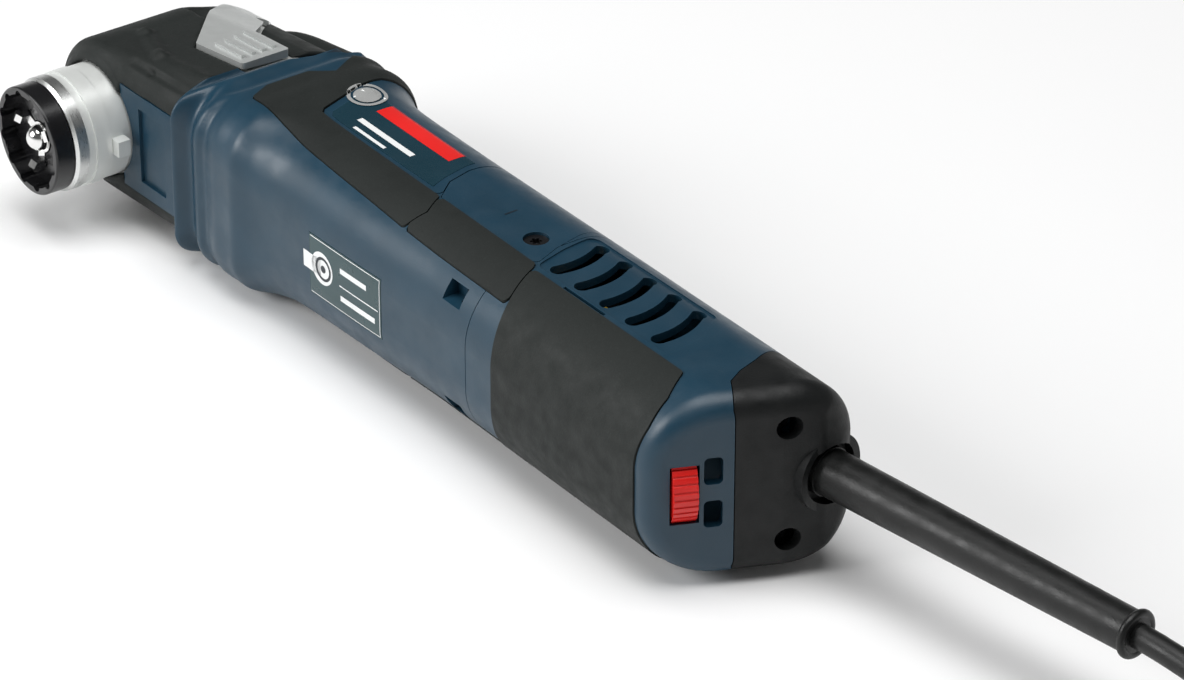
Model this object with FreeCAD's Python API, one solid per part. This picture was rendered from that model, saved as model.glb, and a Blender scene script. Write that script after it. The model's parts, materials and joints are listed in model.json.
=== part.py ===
"""Oscillating multi tool, modelled as an assembly of separate pieces.

The design frame has its origin where the spindle axis crosses the head: +X runs along the body to the
cable, the spindle points along -Y, and +Z is the side that faces up when the tool lies on its side.
place() moves everything to the row frame, whose origin is the bottom centre of the tool without its cord.
"""
import FreeCAD, Part
import functools
import math
import os

V = FreeCAD.Vector
X_AXIS, Y_AXIS, Z_AXIS = V(1, 0, 0), V(0, 1, 0), V(0, 0, 1)

# ---------------------------------------------------------------- driving dimensions, millimetres
MOTOR_Y = 1.0            # height of the motor axis above the spindle's zero
HEAD_R = 24.6            # radius of the head's round nose, about the spindle axis
HEAD_LOW = -32.0         # underside of the head
HEAD_END = 44.0          # where the head meets the motor housing
FRONT_SEAM = 189.5       # where the motor housing meets the rear housing
TAIL_END = 295.5         # rearmost point of the cord cap
TAIL_ROUND = 7.0         # rounding of the tail's rim
WALL = 3.0               # housing wall
INLAY = 1.4              # depth of the soft grip layers and panels in the wall
SKIN_GAP = 0.22          # gap round each inlaid panel
GRIP_PROUD = 0.5         # how far the soft grips stand out of the shell
LABEL_DEPTH = 0.5        # depth of the sticker's and the name plates' recesses
SPLIT_GAP = 0.3          # gap at the seams between housings
BODY_STEPS = 53          # stretches that the body is lofted in

NECK_R = 18.3            # collar that side handles and dust guards clamp on
NECK_TOP_Y = -32.0       # where the collar leaves the head
NECK_LAND_Y = -38.6      # the collar's clamping land runs from here to the step
NECK_LIP_R = 17.7        # front stretch of the neck
NECK_STEP_Y = -43.8      # where the collar steps down to the lip
NECK_RING_Y = -46.6      # where the retaining ring begins
NECK_END_Y = -51.0       # front of the neck
HOLDER_R = 17.3          # outside of the tool holder
HOLDER_BACK_Y = -51.5    # back of the tool holder
HOLDER_FRONT_Y = -57.8   # rim of the tool holder
HOLDER_DEPTH = 5.2       # depth of the seat
SEAT_R = 15.0            # radius between the seat's notches
NOTCH_R = 1.9            # radius of each notch
NOTCH_RING_R = 14.3      # radius of the circle that the notches' centres lie on
SEAT_NOTCHES = 12        # notches of the star-shaped seat
SPINDLE_R = 7.0
ROD_R = 3.2

CRANK = 0.65             # throw of the eccentric
CRANK_X = 25.5           # distance of the eccentric's bearing from the spindle axis
CRANK_BEARING_R = 6.5
FORK_GAP = 8.0           # half the fork's opening: bearing, throw, rocking and clearance
SHAFT_R = 4.0
ARMATURE_R = 16.6
STATOR_BORE_R = 17.2
STATOR_X = (86.0, 134.0)
COMMUTATOR_X = (152.0, 166.0)
COMMUTATOR_R = 10.5
RUNNING_GAP = 0.05       # radial clearance of a shaft in its bearing

PIVOT_X, PIVOT_Y = -6.0, 24.0   # the release lever's pin
LEVER_IN_Z, LEVER_IN_SLOPE = 21.24, 0.106   # the lever's inner cone about its pin: half width, rise
CORD_R = 3.6
BOOT_LENGTH = 115.0
DIAL_R = 13.0
DIAL_WIDTH = 7.0
DIAL_DEPTH = 10.4        # the dial's axle below the tail face

# Body sections: x, underside, top, half width, lower corner radius, upper corner radius
STATIONS = [
    (44.0, -31.3, 34.9, 29.0, 14.5, 19.5),
    (73.5, -33.2, 35.4, 30.7, 16.0, 19.0),
    (78.0, -32.6, 33.4, 30.3, 17.0, 19.0),
    (83.0, -31.2, 31.5, 29.9, 18.5, 19.0),
    (88.0, -30.3, 30.8, 29.5, 19.5, 19.0),
    (97.0, -29.6, 30.5, 29.2, 21.0, 19.0),
    (134.0, -28.9, 30.4, 29.0, 22.0, 19.0),
    (172.0, -27.8, 30.6, 29.0, 22.5, 19.0),
    (200.0, -27.8, 30.8, 29.0, 22.5, 19.0),
    (310.0, -27.8, 30.8, 29.0, 22.5, 19.0),
]


# ---------------------------------------------------------------- small helpers
def box(x0, x1, y0, y1, z0, z1):
    return Part.makeBox(x1 - x0, y1 - y0, z1 - z0, V(x0, y0, z0))


def rod_y(r, y0, y1, x=0.0, z=0.0):
    return Part.makeCylinder(r, y1 - y0, V(x, y0, z), Y_AXIS)


def rod_x(r, x0, x1, y=MOTOR_Y, z=0.0):
    return Part.makeCylinder(r, x1 - x0, V(x0, y, z), X_AXIS)


def rod_z(r, z0, z1, x, y):
    return Part.makeCylinder(r, z1 - z0, V(x, y, z0), Z_AXIS)


def fuse(first, *others):
    return first.fuse(list(others)).removeSplitter()


def cut(first, *others):
    return first.cut(list(others))


def mirrored(shape):
    """The shape on the other side of the mid plane."""
    return shape.mirror(V(0, 0, 0), Z_AXIS)


def ring_y(r_out, r_in, y0, y1, x=0.0, z=0.0):
    return rod_y(r_out, y0, y1, x, z).cut(rod_y(r_in, y0 - 1, y1 + 1, x, z))


def ring_x(r_out, r_in, x0, x1, y=MOTOR_Y, z=0.0):
    return rod_x(r_out, x0, x1, y, z).cut(rod_x(r_in, x0 - 1, x1 + 1, y, z))


def prism_z(points, z0, z1):
    """A polygon in the X-Y plane, extruded along Z."""
    wire = Part.makePolygon([V(x, y, z0) for x, y in points] + [V(*points[0], z0)])
    return Part.Face(wire).extrude(V(0, 0, z1 - z0))


def prism_y(points, y0, y1):
    """A polygon in the X-Z plane, extruded along Y."""
    wire = Part.makePolygon([V(x, y0, z) for x, z in points] + [V(points[0][0], y0, points[0][1])])
    return Part.Face(wire).extrude(V(0, y1 - y0, 0))


def rounded_section(x, y0, y1, hz, r_low, r_high):
    """A rounded rectangle in the plane X = x, as four lines and four arcs."""
    corners = [
        (V(x, y0 + r_low, -hz + r_low), r_low, math.pi),
        (V(x, y1 - r_high, -hz + r_high), r_high, 1.5 * math.pi),
        (V(x, y1 - r_high, hz - r_high), r_high, 0.0),
        (V(x, y0 + r_low, hz - r_low), r_low, 0.5 * math.pi),
    ]
    edges, last_end, first_start = [], None, None
    for centre, r, start in corners:
        ends = []
        for turn in (0.0, 0.25 * math.pi, 0.5 * math.pi):
            a = start + turn
            ends.append(centre + V(0, math.cos(a) * r, math.sin(a) * r))
        if last_end is not None:
            edges.append(Part.makeLine(last_end, ends[0]))
        else:
            first_start = ends[0]
        edges.append(Part.Arc(*ends).toShape())
        last_end = ends[2]
    edges.append(Part.makeLine(last_end, first_start))
    return Part.Wire(edges)


def slope_at(k, column):
    """The rate of change of one of the stations' columns at station k, level at its peaks and hollows."""
    if k == 0:
        return (STATIONS[1][column] - STATIONS[0][column]) / (STATIONS[1][0] - STATIONS[0][0])
    if k == len(STATIONS) - 1:
        return 0.0
    before, here, after = STATIONS[k - 1:k + 2]
    rise = (here[column] - before[column]) / (here[0] - before[0])
    fall = (after[column] - here[column]) / (after[0] - here[0])
    return 2.0 * rise * fall / (rise + fall) if rise * fall > 0.0 else 0.0


def blended(x, k, column):
    """One of the stations' columns at x, on a smooth curve from station k to the next that never overshoots."""
    a, b = STATIONS[k], STATIONS[k + 1]
    span = b[0] - a[0]
    t = (x - a[0]) / span
    start = (1.0 + 2.0 * t) * (1.0 - t) ** 2 * a[column] + t * (1.0 - t) ** 2 * span * slope_at(k, column)
    end = t * t * (3.0 - 2.0 * t) * b[column] - t * t * (1.0 - t) * span * slope_at(k + 1, column)
    return start + end


def section_at(x, inset):
    """The body's section at x, drawn in by inset on every side."""
    k = max(i for i in range(len(STATIONS) - 1) if STATIONS[i][0] <= x)
    y0, y1, hz, r_low, r_high = (blended(x, k, column) for column in range(1, 6))
    return rounded_section(x, y0 + inset, y1 - inset, hz - inset, r_low - inset, r_high - inset)


@functools.lru_cache(maxsize=None)
def whole_body(inset):
    """The body's solid from the head to past the tail, lofted through evenly spaced sections."""
    step = (STATIONS[-1][0] - HEAD_END) / BODY_STEPS
    return Part.makeLoft([section_at(HEAD_END + step * k, inset) for k in range(BODY_STEPS + 1)], True)


def body(x0, x1, inset=0.0):
    """The stretch of the body's solid from x0 to x1."""
    return whole_body(inset).common(box(x0, x1, -60, 60, -60, 60))


def bearing(axis, centre, r_out, r_in, width, balls=9):
    """A ball bearing about X_AXIS or Y_AXIS: outer race, inner race and balls, as separate solids."""
    race = 0.30 * (r_out - r_in)
    mid = 0.5 * (r_out + r_in)
    ball = 0.5 * (r_out - r_in) - race + 0.35
    c = V(*centre)
    groove = Part.makeTorus(mid, ball + 0.02, c, axis)
    solids = []
    for outside, inside in ((r_out, r_out - race), (r_in + race, r_in)):
        blank = Part.makeCylinder(outside, width, c - axis * (width / 2), axis)
        bore = Part.makeCylinder(inside, width + 2, c - axis * (width / 2 + 1), axis)
        solids.append(blank.cut([bore, groove]))
    side = axis.cross(Z_AXIS)
    for k in range(balls):
        a = 2 * math.pi * k / balls
        solids.append(Part.makeSphere(ball, c + (side * math.cos(a) + Z_AXIS * math.sin(a)) * mid))
    return Part.makeCompound(solids)


def screw(head, direction, r_head, r_shank, length, head_height=2.4):
    """A pan-head screw with a six-lobe recess; head is the centre of the head's outer face."""
    d = V(*direction)
    p = V(*head)
    s = Part.makeCylinder(r_head, head_height, p, d).fuse(Part.makeCylinder(r_shank, length, p, d))
    side = V(0, 0, 1) if abs(d.z) < 0.9 else V(1, 0, 0)
    up = d.cross(side)
    recess = [Part.makeCylinder(r_head * 0.30, head_height * 0.6, p, d)]
    for k in range(6):
        a = math.pi * k / 3
        c = p + (side * math.cos(a) + up * math.sin(a)) * (r_head * 0.36)
        recess.append(Part.makeCylinder(r_head * 0.14, head_height * 0.6, c, d))
    return s.removeSplitter().cut(recess)


# ---------------------------------------------------------------- head
DOME = [(1.0, 4.0), (0.945, 11.0), (0.86, 18.8), (0.70, 26.0), (0.50, 30.2), (0.0, 33.0)]


def half_section(x, side, inset):
    """Edges of one half of the head's section at x, from the middle of the underside over to the crown."""
    t = x / HEAD_END
    hw = HEAD_R + 3.8 * t - inset
    low = HEAD_LOW + 1.0 * t + inset
    r = max(5.0 + 9.0 * t - inset, 1.0)
    k = 1.0 - math.sqrt(0.5)
    crown = [V(x, y - inset * (1.0 - f) + 4.0 * t * f, side * hw * f) for f, y in DOME]
    dome = Part.BSplineCurve()
    dome.interpolate(crown, InitialTangent=V(0, 1, 0), FinalTangent=V(0, 0, -side))
    corner = Part.Arc(V(x, low, side * (hw - r)), V(x, low + r * k, side * (hw - r * k)), V(x, low + r, side * hw))
    return [Part.makeLine(V(x, low, 0), V(x, low, side * (hw - r))), corner.toShape(),
            Part.makeLine(V(x, low + r, side * hw), crown[0]), dome.toShape()]


def head_section(x, inset):
    """The head's section at x: flat underside, round lower corners and a domed top."""
    return Part.Wire(Part.sortEdges(half_section(x, 1, inset) + half_section(x, -1, inset))[0])


def head(inset=0.0, end=HEAD_END):
    """The head's solid: a nose turned about the spindle axis, lofted back to the motor housing."""
    edges = half_section(0.0, 1, inset)
    crown = edges[-1].Vertexes[-1].Point
    foot = edges[0].Vertexes[0].Point
    profile = Part.Wire(Part.sortEdges(edges + [Part.makeLine(V(0, max(crown.y, 20.0), 0), foot)])[0])
    nose = Part.Face(profile).revolve(V(0, 0, 0), Y_AXIS, -180)
    back = Part.makeLoft([head_section(x, inset) for x in (0.0, end / 2, end)], True, False)
    return nose.fuse(back).Solids[0]


# ---------------------------------------------------------------- zones of the skin, as outlines in the X-Y plane
HIGH = 60.0
GRIP_ZONE = [(65, -17.5), (61.5, -10), (61.5, 5), (66, 12), (61, 21), (55, 27), (54, HIGH), (79, HIGH),
             (77, 21), (78, 12), (83, -3.5), (84.5, -5), (146, -5.5), (150, -13), (148, -20), (100, -18.6)]
LABEL_ZONE = [(84.5, -5), (83, -3.5), (78, 12), (77, 21), (79, HIGH), (138, HIGH), (138, 10), (140, 2), (146, -5.5)]
TONGUE_ZONE = [(146, -5.5), (140, 2), (138, 10), (138, HIGH), (184, HIGH), (187, 17), (190, 4), (194, -6)]
STRIP_ZONE = [(148, -20), (150, -13), (146, -5.5), (194, -6), (195.5, -8), (199.8, -20.5)]
REAR_GRIP_ZONE = [(202.3, -HIGH), (202.3, -28), (199.8, -20.5), (195.5, -8), (266, -8),
                  (270.6, -17), (271.3, -24), (270, -28), (270, -HIGH)]
VENT_ZONE = [(194.5, -6.2), (191.5, 5), (190, 17.8), (246, 18.6), (253.5, 8), (256, -6.2)]
CAP_ZONE = [(320, -3.5), (285, -5.6), (277, -0.6), (274, 5), (272, 12), (268, 21), (267, HIGH), (320, HIGH)]
LEVER_ZONE = [(44, -7), (21, -9), (1, 9), (-5.5, 18), (-5.5, HIGH), (2, HIGH), (2.5, 31), (25, 10), (44, 10)]
TAIL_FACE = [(275.5, -28), (286.2, -4.6), (291.6, 7), (TAIL_END, 18), (TAIL_END, HIGH), (150, HIGH), (150, -28)]
CORNER_R = 1.6           # rounding of the zones' outward corners


def region(outline, shrink=0.0, rounding=0.0):
    """A prism across the tool over a zone, its outline drawn in by shrink and its corners rounded."""
    face = Part.Face(Part.makePolygon([V(x, y, -50) for x, y in outline] + [V(*outline[0], -50)]))
    if shrink + rounding:
        face = face.makeOffset2D(-shrink - rounding)
    if rounding:
        face = face.makeOffset2D(rounding)
    return face.extrude(V(0, 0, 100))


def tail(inset=0.0):
    """The body's rear end, closed by the slanted tail face."""
    shape = body(FRONT_SEAM, TAIL_END + 3, inset).common(region(TAIL_FACE, shrink=inset))
    if inset == 0.0:
        rims = [e for e in shape.Edges if e.BoundBox.XMin > 274.9 and e.BoundBox.ZLength > 0.5]
        shape = shape.makeFillet(TAIL_ROUND, rims)
    return shape.Solids[0]


def skin(zone, proud=0.0, shrink=SKIN_GAP):
    """An inlaid layer of the motor housing over a zone."""
    layer = whole_body(-proud).common(region(zone, shrink, CORNER_R))
    return layer.cut(whole_body(INLAY))


# ---------------------------------------------------------------- head pieces
LEVER_WELL_R = 10.6
BOOT_DEPTH = 2.2
CAST_WALL = 3.2


def lever_well(half):
    return rod_z(LEVER_WELL_R, -half, half, PIVOT_X, PIVOT_Y)


def band_room():
    """The room that the lever's band needs in front of the pin when it opens, beside the well."""
    return rod_z(8.5, -17.4, 17.4, PIVOT_X, PIVOT_Y).common(box(-30, -5.0, 22.5, 60, -20, 20))


def switch_slot():
    return box(24.3, 44.2, 24.9, 40, -3.6, 3.6)


def neck():
    """The collar: its clamping land, a step, and the front stretch behind the ring."""
    lug = box(16.5, 21.6, NECK_LAND_Y + 0.2, -34.2, -2.6, 2.6)
    land = rod_y(NECK_R, NECK_STEP_Y, NECK_LAND_Y)
    back = rod_y(NECK_R - 0.35, NECK_LAND_Y, NECK_TOP_Y)
    root = rod_y(NECK_LIP_R, NECK_TOP_Y, -26)
    return fuse(land, back, root, rod_y(NECK_LIP_R, NECK_RING_Y, NECK_STEP_Y), lug)


def gear_housing():
    """The cast housing of the gear: walls, neck, and the plate that carries the front motor bearing."""
    inside = head(BOOT_DEPTH + CAST_WALL, end=36.0)
    plate_room = [rod_x(11.0, 35, 43.0), rod_x(6.0, 30, 45)]
    shell = head(BOOT_DEPTH).cut(inside)
    shell = fuse(shell, neck()).cut([rod_y(14.0, -60, -23), rod_y(15.2, -60, -41)])
    upper_seat = rod_y(11.5, 3.0, 11.0).cut(rod_y(9.5, 2, 12))
    arms = box(-20, 20, 8.6, 11.0, -20, 20).common(inside).cut(rod_y(11.4, 0, 20))
    shell = fuse(shell, upper_seat, arms)
    band = band_room().cut(rod_z(2.7, -20, 20, PIVOT_X, PIVOT_Y))
    pin_hole = rod_z(1.5, -14.6, 14.6, PIVOT_X, PIVOT_Y)
    shell = shell.cut([lever_well(12.3), band, switch_slot(), pin_hole] + plate_room)
    holes = [rod_x(1.9, 35, 45, MOTOR_Y + sy * 14.0, sz * 14.0) for sy in (-1, 1) for sz in (-1, 1)]
    return shell.cut(holes)


def collar_ring():
    """The bright retaining ring at the front of the neck."""
    ring = ring_y(18.1, 14.4, NECK_END_Y, NECK_RING_Y - 0.02)
    rims = [e for e in ring.Edges if abs(e.BoundBox.YMax - NECK_END_Y) < 0.01]
    return ring.makeChamfer(0.9, rims)


def cover_zone():
    """The room of the head's underside panel."""
    return box(-1, HEAD_END + 1, -40, -24.5, -17.3, 17.3)


def head_cover():
    """The panel under the head, with its shallow pocket."""
    panel = head(0.0).cut(head(BOOT_DEPTH)).common(cover_zone())
    pocket = prism_y([(22.5, -12.6), (36, -12.6), (37, 0), (36, 12.6), (22.5, 12.6)], -35, -30.3)
    panel = panel.cut([rod_y(NECK_R + 0.15, -60, -20), box(-5, 12.8, -40, -20, -20, 20)])
    return panel.cut(pocket).Solids[0]


def lever_cone(clearance=0.0):
    """The room inside the lever's skirts: wider with distance from the pin, so that the lever can swing."""
    half, rise = LEVER_IN_Z - clearance, LEVER_IN_SLOPE * 70.0
    side = Part.makePolygon([V(0, 0, -half), V(70, 0, -half - rise), V(70, 0, half + rise), V(0, 0, half),
                             V(0, 0, -half)])
    cone = Part.Face(side).revolve(V(0, 0, 0), Z_AXIS, 360)
    cone.translate(V(PIVOT_X, PIVOT_Y, 0))
    return cone


def swing_room():
    """The room that the lever's skirts sweep over the hood's flanks."""
    sweep = rod_z(61.0, -50, 50, PIVOT_X, PIVOT_Y).cut(rod_z(12.0, -51, 51, PIVOT_X, PIVOT_Y))
    return sweep.common(box(-6, 70, 5, 60, -50, 50)).cut(lever_cone(0.3))


def head_boot():
    """The soft hood over the head's front, top and sides."""
    hood = head(0.0).cut(head(BOOT_DEPTH))
    hood = hood.cut([region(LEVER_ZONE, shrink=-0.6), lever_well(12.3), switch_slot()])
    under = box(12.65, HEAD_END + 1, -40, -24.5, -17.45, 17.45)
    return hood.cut([under, rod_y(NECK_R + 0.1, -60, -20), swing_room(), band_room()])


def release_lever():
    """The tool-release lever: a saddle over the head with ribbed skirts, a hub and a cam."""
    skirts = head(-1.2).cut(lever_cone()).common(region(LEVER_ZONE, rounding=1.2))
    shell = head(-0.7).cut(head(1.6))
    saddle = shell.common(region(LEVER_ZONE)).common(rod_z(14.5, -40, 40, PIVOT_X, PIVOT_Y))
    tongue = shell.common(box(-13, 2, 15, 40, -11.6, 11.6))
    hub = rod_z(5.2, -11.6, 11.6, PIVOT_X, PIVOT_Y)
    web = prism_z([(-9, 24), (-3, 24), (0, 33), (-11, 31)], -11.6, 11.6).common(head(0.5))
    cam = prism_z([(-6, 28.6), (-12, 27), (-12.9, 25.2), (-12.2, 23.4), (-6, 19.4)], -4.5, 4.5)
    lever = fuse(saddle, skirts, tongue, hub, web, cam)
    ridges = []
    for y in (-4.6, -0.9, 2.8, 6.5):
        outline = [(25.5 - y * 0.12, y - 0.9), (40.5, y - 0.5), (40.5, y + 1.0), (25.5 - y * 0.12, y + 0.6)]
        ridges.append(head(-2.1).cut(head(-0.5)).common(prism_z(outline, -40, 40)))
    return fuse(lever, *ridges).cut(rod_z(1.55, -20, 20, PIVOT_X, PIVOT_Y)).Solids[0]


def lever_pin():
    return rod_z(1.5, -14.5, 14.5, PIVOT_X, PIVOT_Y)


# ---------------------------------------------------------------- spindle and clamp
def output_spindle():
    """The hollow spindle with its shoulder."""
    s = fuse(rod_y(SPINDLE_R, -51.4, 10.6), rod_y(9.0, -23.4, -21.5), rod_y(10.0, HOLDER_BACK_Y, -48.6))
    return s.cut(rod_y(ROD_R + 0.05, -60, 20))


def star_outline():
    """The seat's room: rounded notches evenly round a circle."""
    y = HOLDER_FRONT_Y - 0.01
    notches = []
    for k in range(SEAT_NOTCHES):
        a = 2 * math.pi * (k + 0.5) / SEAT_NOTCHES
        notches.append(rod_y(NOTCH_R, y, y + HOLDER_DEPTH, NOTCH_RING_R * math.cos(a), NOTCH_RING_R * math.sin(a)))
    return rod_y(SEAT_R, y, y + HOLDER_DEPTH).fuse(notches)


def tool_holder():
    """The cup that accessories sit in: a star-shaped seat and a floor with recesses for the hooks."""
    cup = rod_y(HOLDER_R, HOLDER_FRONT_Y, HOLDER_BACK_Y)
    rim = [e for e in cup.Edges if abs(e.BoundBox.YMax - HOLDER_FRONT_Y) < 0.01]
    cup = cup.makeFillet(0.6, rim).cut([star_outline(), rod_y(5.3, -70, -40)])
    for k in range(3):
        recess = box(4.0, 9.8, -60, -51.8, -2.1, 2.1)
        recess.rotate(V(0, 0, 0), Y_AXIS, 90 + 120 * k)
        cup = cup.cut(recess)
    return cup.Solids[0]


def rocker_fork():
    """The fork on the spindle that the eccentric rocks from side to side."""
    hub = rod_y(11.0, -5.5, 2.6)
    arm = box(13, 29.5, -5.0, 6.5, FORK_GAP, 12.5)
    web = box(5, 15.5, -5.0, 2.6, -12.5, 12.5)
    return fuse(hub, web, arm, mirrored(arm)).cut(rod_y(SPINDLE_R, -10, 20)).Solids[0]


def clamp_rod():
    """The rod through the spindle: a plate under the lever's cam and a domed tip in the cup."""
    tip = Part.makeSphere(4.2, V(0, -53.4, 0)).common(rod_y(4.2, -57.6, -53.0))
    return fuse(rod_y(ROD_R, -53.4, 15.5), rod_y(5.6, 15.5, 18.5), tip)


def clamp_hooks():
    """Three claws round the rod's tip, each with a barb that holds the accessory's hub."""
    claw = [(4.3, -51.9), (9.3, -51.9), (9.3, -54.3), (10.6, -55.2), (10.7, -56.4), (9.3, -57.0), (7.5, -55.8),
            (7.2, -53.2), (4.3, -52.9)]
    hooks = []
    for k in range(3):
        hook = prism_z(claw, -1.7, 1.7)
        hook.rotate(V(0, 0, 0), Y_AXIS, 90 + 120 * k)
        hooks.append(hook)
    return fuse(ring_y(4.9, ROD_R, -52.95, -51.9), *hooks)


def clamp_spring():
    """The disc springs that pull the rod back."""
    discs = [ring_y(6.9, ROD_R + 0.4, 11.0 + 0.9 * k, 11.6 + 0.9 * k) for k in range(3)]
    return Part.makeCompound(discs)


def spindle_bearing_lower():
    return bearing(Y_AXIS, (0, -30.0, 0), 14.0, SPINDLE_R + RUNNING_GAP, 9.0, 11)


def spindle_bearing_upper():
    return bearing(Y_AXIS, (0, 7.0, 0), 9.5, SPINDLE_R + RUNNING_GAP, 7.0, 12)


def spindle_seal():
    return ring_y(14.0, SPINDLE_R + 0.3, -38.6, -36.2)


# ---------------------------------------------------------------- motor
def front_bearing():
    return bearing(X_AXIS, (39.2, MOTOR_Y, 0), 11.0, SHAFT_R + RUNNING_GAP, 7.0)


def rear_bearing():
    return bearing(X_AXIS, (174.8, MOTOR_Y, 0), 8.6, SHAFT_R + RUNNING_GAP, 6.0)


def bearing_sleeve():
    """The rubber sleeve that the rear bearing sits in."""
    return ring_x(11.6, 8.6, 170.5, 179.5)


def eccentric_bearing():
    return bearing(X_AXIS, (CRANK_X, MOTOR_Y + CRANK, 0), CRANK_BEARING_R, 3.0, 7.0, 7)


def motor_shaft():
    return fuse(rod_x(SHAFT_R, 34.0, 178.0), rod_x(3.0, 19.0, 34.5, MOTOR_Y + CRANK))


def fan():
    """The cooling fan: a hub, a back plate and curved blades."""
    blades = []
    for k in range(11):
        blade = box(62.0, 71.0, 8, 22.5, -0.7, 0.7)
        blade.rotate(V(0, 0, 0), X_AXIS, 360.0 * k / 11)
        blade.translate(V(0, MOTOR_Y, 0))
        blades.append(blade)
    disc = rod_x(22.5, 70.5, 72.0)
    return fuse(rod_x(9.0, 60.0, 72.0), disc, *blades).cut(rod_x(SHAFT_R, 50, 80))


def fan_shroud():
    return ring_x(24.3, 17.0, 76.0, 78.0)


def armature_core():
    """Laminations with slots for the windings."""
    core = ring_x(ARMATURE_R, SHAFT_R, *STATOR_X)
    slots = []
    for k in range(12):
        slot = box(STATOR_X[0] - 1, STATOR_X[1] + 1, 9.0, 20.0, -1.3, 1.3)
        slot.rotate(V(0, 0, 0), X_AXIS, 30.0 * k)
        slot.translate(V(0, MOTOR_Y, 0))
        slots.append(slot)
    return core.cut(slots)


def armature_windings():
    """Copper in the slots and at both ends."""
    bars = []
    for k in range(12):
        bar = box(STATOR_X[0] - 6, STATOR_X[1] + 6, 9.05, 15.4, -1.25, 1.25)
        bar.rotate(V(0, 0, 0), X_AXIS, 30.0 * k)
        bar.translate(V(0, MOTOR_Y, 0))
        bars.append(bar)
    ends = [ring_x(14.6, SHAFT_R + 1.5, x, x + 6.0) for x in (STATOR_X[0] - 6.5, STATOR_X[1] + 0.5)]
    return fuse(ends[0], ends[1], *bars)


def commutator():
    drum = ring_x(COMMUTATOR_R, SHAFT_R, *COMMUTATOR_X)
    gaps = []
    for k in range(24):
        gap = box(COMMUTATOR_X[0] + 1.5, COMMUTATOR_X[1] + 1, COMMUTATOR_R - 0.8, COMMUTATOR_R + 1, -0.25, 0.25)
        gap.rotate(V(0, 0, 0), X_AXIS, 15.0 * k)
        gap.translate(V(0, MOTOR_Y, 0))
        gaps.append(gap)
    return drum.cut(gaps)


def stator_core():
    """The field's laminations: a ring with two poles."""
    ring = ring_x(24.3, 21.4, *STATOR_X)
    poles = ring_x(21.4, STATOR_BORE_R, *STATOR_X).common(box(0, 200, -40, 40, -12.0, 12.0))
    return fuse(ring, poles)


def field_coils():
    """Two coils round the poles, at the sides."""
    ring = ring_x(21.2, 17.6, STATOR_X[0] - 5, STATOR_X[1] + 5)
    coil = ring.common(box(0, 200, -40, 40, 12.2, 30))
    return Part.makeCompound([coil, mirrored(coil)])


BRUSH_X = 0.5 * sum(COMMUTATOR_X)


def brush_holders():
    """A sleeve on each side of the commutator."""
    sleeve = box(BRUSH_X - 5.0, BRUSH_X + 5.0, MOTOR_Y - 4.6, MOTOR_Y + 4.6, 11.4, 25.6)
    sleeve = sleeve.cut(box(BRUSH_X - 3.6, BRUSH_X + 3.6, MOTOR_Y - 3.2, MOTOR_Y + 3.2, 0, 30))
    return Part.makeCompound([sleeve, mirrored(sleeve)])


def brushes():
    brush = box(BRUSH_X - 3.5, BRUSH_X + 3.5, MOTOR_Y - 3.1, MOTOR_Y + 3.1, COMMUTATOR_R + 0.15, 19.6)
    return Part.makeCompound([brush, mirrored(brush)])


def brush_springs():
    """The springs behind the brushes, as stacked rings, which keeps their shape simple and closed."""
    rings = []
    for k in range(5):
        ring = Part.makeTorus(2.2, 0.3, V(BRUSH_X, MOTOR_Y, 20.2 + 1.2 * k), Z_AXIS)
        rings += [ring, mirrored(ring)]
    return Part.makeCompound(rings)


# ---------------------------------------------------------------- housings
VENTS = ((199.5, 197.0), (211.0, 208.0), (223.0, 219.5), (235.0, 231.0), (247.0, 242.5))
VENT_LOW, VENT_HIGH = -2.2, 14.6
VENT_HALF_WIDTH = 2.5
VENT_BOW = 1.8           # how far the slots' middles bulge backwards


def vent_slot(x_low, x_high):
    """One vent slot through the +Z side: a bowed stadium that leans forward towards its top."""
    w = VENT_HALF_WIDTH
    x_mid, y_mid = 0.5 * (x_low + x_high) + VENT_BOW, 0.5 * (VENT_LOW + VENT_HIGH)
    front = Part.Arc(V(x_high - w, VENT_HIGH, 0), V(x_mid - w, y_mid, 0), V(x_low - w, VENT_LOW, 0))
    foot = Part.Arc(V(x_low - w, VENT_LOW, 0), V(x_low, VENT_LOW - w, 0), V(x_low + w, VENT_LOW, 0))
    back = Part.Arc(V(x_low + w, VENT_LOW, 0), V(x_mid + w, y_mid, 0), V(x_high + w, VENT_HIGH, 0))
    crown = Part.Arc(V(x_high + w, VENT_HIGH, 0), V(x_high, VENT_HIGH + w, 0), V(x_high - w, VENT_HIGH, 0))
    face = Part.Face(Part.Wire([edge.toShape() for edge in (front, foot, back, crown)]))
    slot = face.extrude(V(0, 0, 40))
    slot.translate(V(0, 0, 15))
    return slot


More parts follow.
